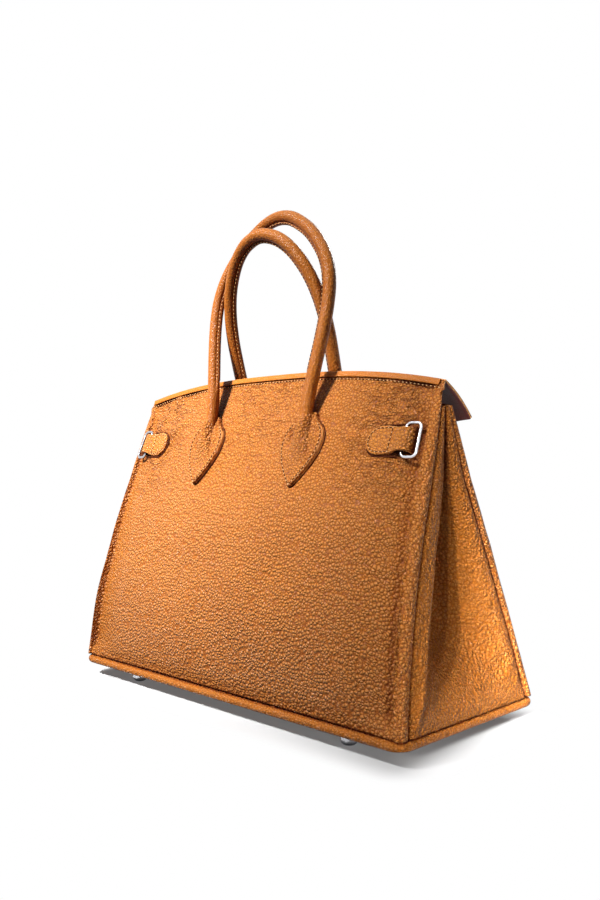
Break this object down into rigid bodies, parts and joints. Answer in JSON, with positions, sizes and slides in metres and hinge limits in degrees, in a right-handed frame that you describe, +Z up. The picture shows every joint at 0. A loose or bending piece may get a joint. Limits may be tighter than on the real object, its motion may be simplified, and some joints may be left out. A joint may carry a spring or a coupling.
{
  "type": "top-handle handbag",
  "caption": "Grained leather top-handle satchel with rolled handles, notched flap, bellows gussets, side rings and straps, a turnlock and a footed base.",
  "frame": {"origin": "on the floor under the middle of the bag, at the centre of the bounding box's bottom", "axes": "+X along the width, -Y the back with the sewn strap ends, +Y the front with the flap and turnlock, +Z up"},
  "size_m": [0.353, 0.158, 0.3849],
  "materials": {
    "tan_leather": "pebbled grain, semi-matt",
    "lining": "smooth, matt",
    "fibre_board": "raw fibre board",
    "rope": "twisted cotton",
    "steel": "polished"
  },
  "bodies": {
    "bag_body": {"back_edge_binding": "tan_leather", "back_handle_tab_left": "tan_leather", "back_handle_tab_right": "tan_leather", "back_lining": "lining", "back_panel": "tan_leather", "base_board": "fibre_board", "base_lining": "lining", "base_panel": "tan_leather", "foot_back_left": "steel", "foot_back_right": "steel", "foot_front_left": "steel", "foot_front_right": "steel", "foot_washer_back_left": "steel", "foot_washer_back_right": "steel", "foot_washer_front_left": "steel", "foot_washer_front_right": "steel", "front_edge_binding": "tan_leather", "front_handle_tab_left": "tan_leather", "front_handle_tab_right": "tan_leather", "front_lining": "lining", "front_panel": "tan_leather", "gusset_left": "tan_leather", "gusset_lining_left": "lining", "gusset_lining_right": "lining", "gusset_right": "tan_leather", "inner_pocket": "lining", "strap_left": "tan_leather", "strap_plate_left": "steel", "strap_plate_right": "steel", "strap_right": "tan_leather", "turnlock_base": "steel", "turnlock_washer": "steel"},
    "flap_group": {"flap": "tan_leather", "flap_lining_left": "lining", "flap_lining_middle": "lining", "flap_lining_right": "lining", "flap_plate": "steel"},
    "rear_handle_group": {"back_handle": "tan_leather", "back_handle_core": "rope"},
    "front_handle_group": {"front_handle": "tan_leather", "front_handle_core": "rope"},
    "lock_knob_group": {"turnlock_knob": "steel"},
    "left_ring_group": {"ring_left": "steel"},
    "right_ring_group": {"ring_right": "steel"}
  },
  "joints": [
    {"name": "flap_hinge", "type": "hinge", "parent": "bag_body", "child": "flap_group", "pos_m": [0, -0.01097, 0.2542], "axis": [1, 0, 0], "range_deg": [0, 105]},
    {"name": "back_handle_swing", "type": "hinge", "parent": "bag_body", "child": "rear_handle_group", "pos_m": [0, -0.03457, 0.22072], "axis": [1, 0, 0], "range_deg": [0, 55]},
    {"name": "front_handle_swing", "type": "hinge", "parent": "bag_body", "child": "front_handle_group", "pos_m": [0, 0.00884, 0.21107], "axis": [-1, 0, 0], "range_deg": [0, 55]},
    {"name": "turnlock_turn", "type": "hinge", "parent": "bag_body", "child": "lock_knob_group", "pos_m": [0, 0.01875, 0.174], "axis": [0, 0.923, 0.3849], "range_deg": [0, 90]},
    {"name": "ring_left_swing", "type": "hinge", "parent": "bag_body", "child": "left_ring_group", "pos_m": [-0.1432, -0.03339, 0.2006], "axis": [0.0415, 0.3715, 0.9275], "range_deg": [0, 35]},
    {"name": "ring_right_swing", "type": "hinge", "parent": "bag_body", "child": "right_ring_group", "pos_m": [0.1432, -0.03339, 0.2006], "axis": [0.0415, -0.3715, -0.9275], "range_deg": [0, 35]}
  ]
}
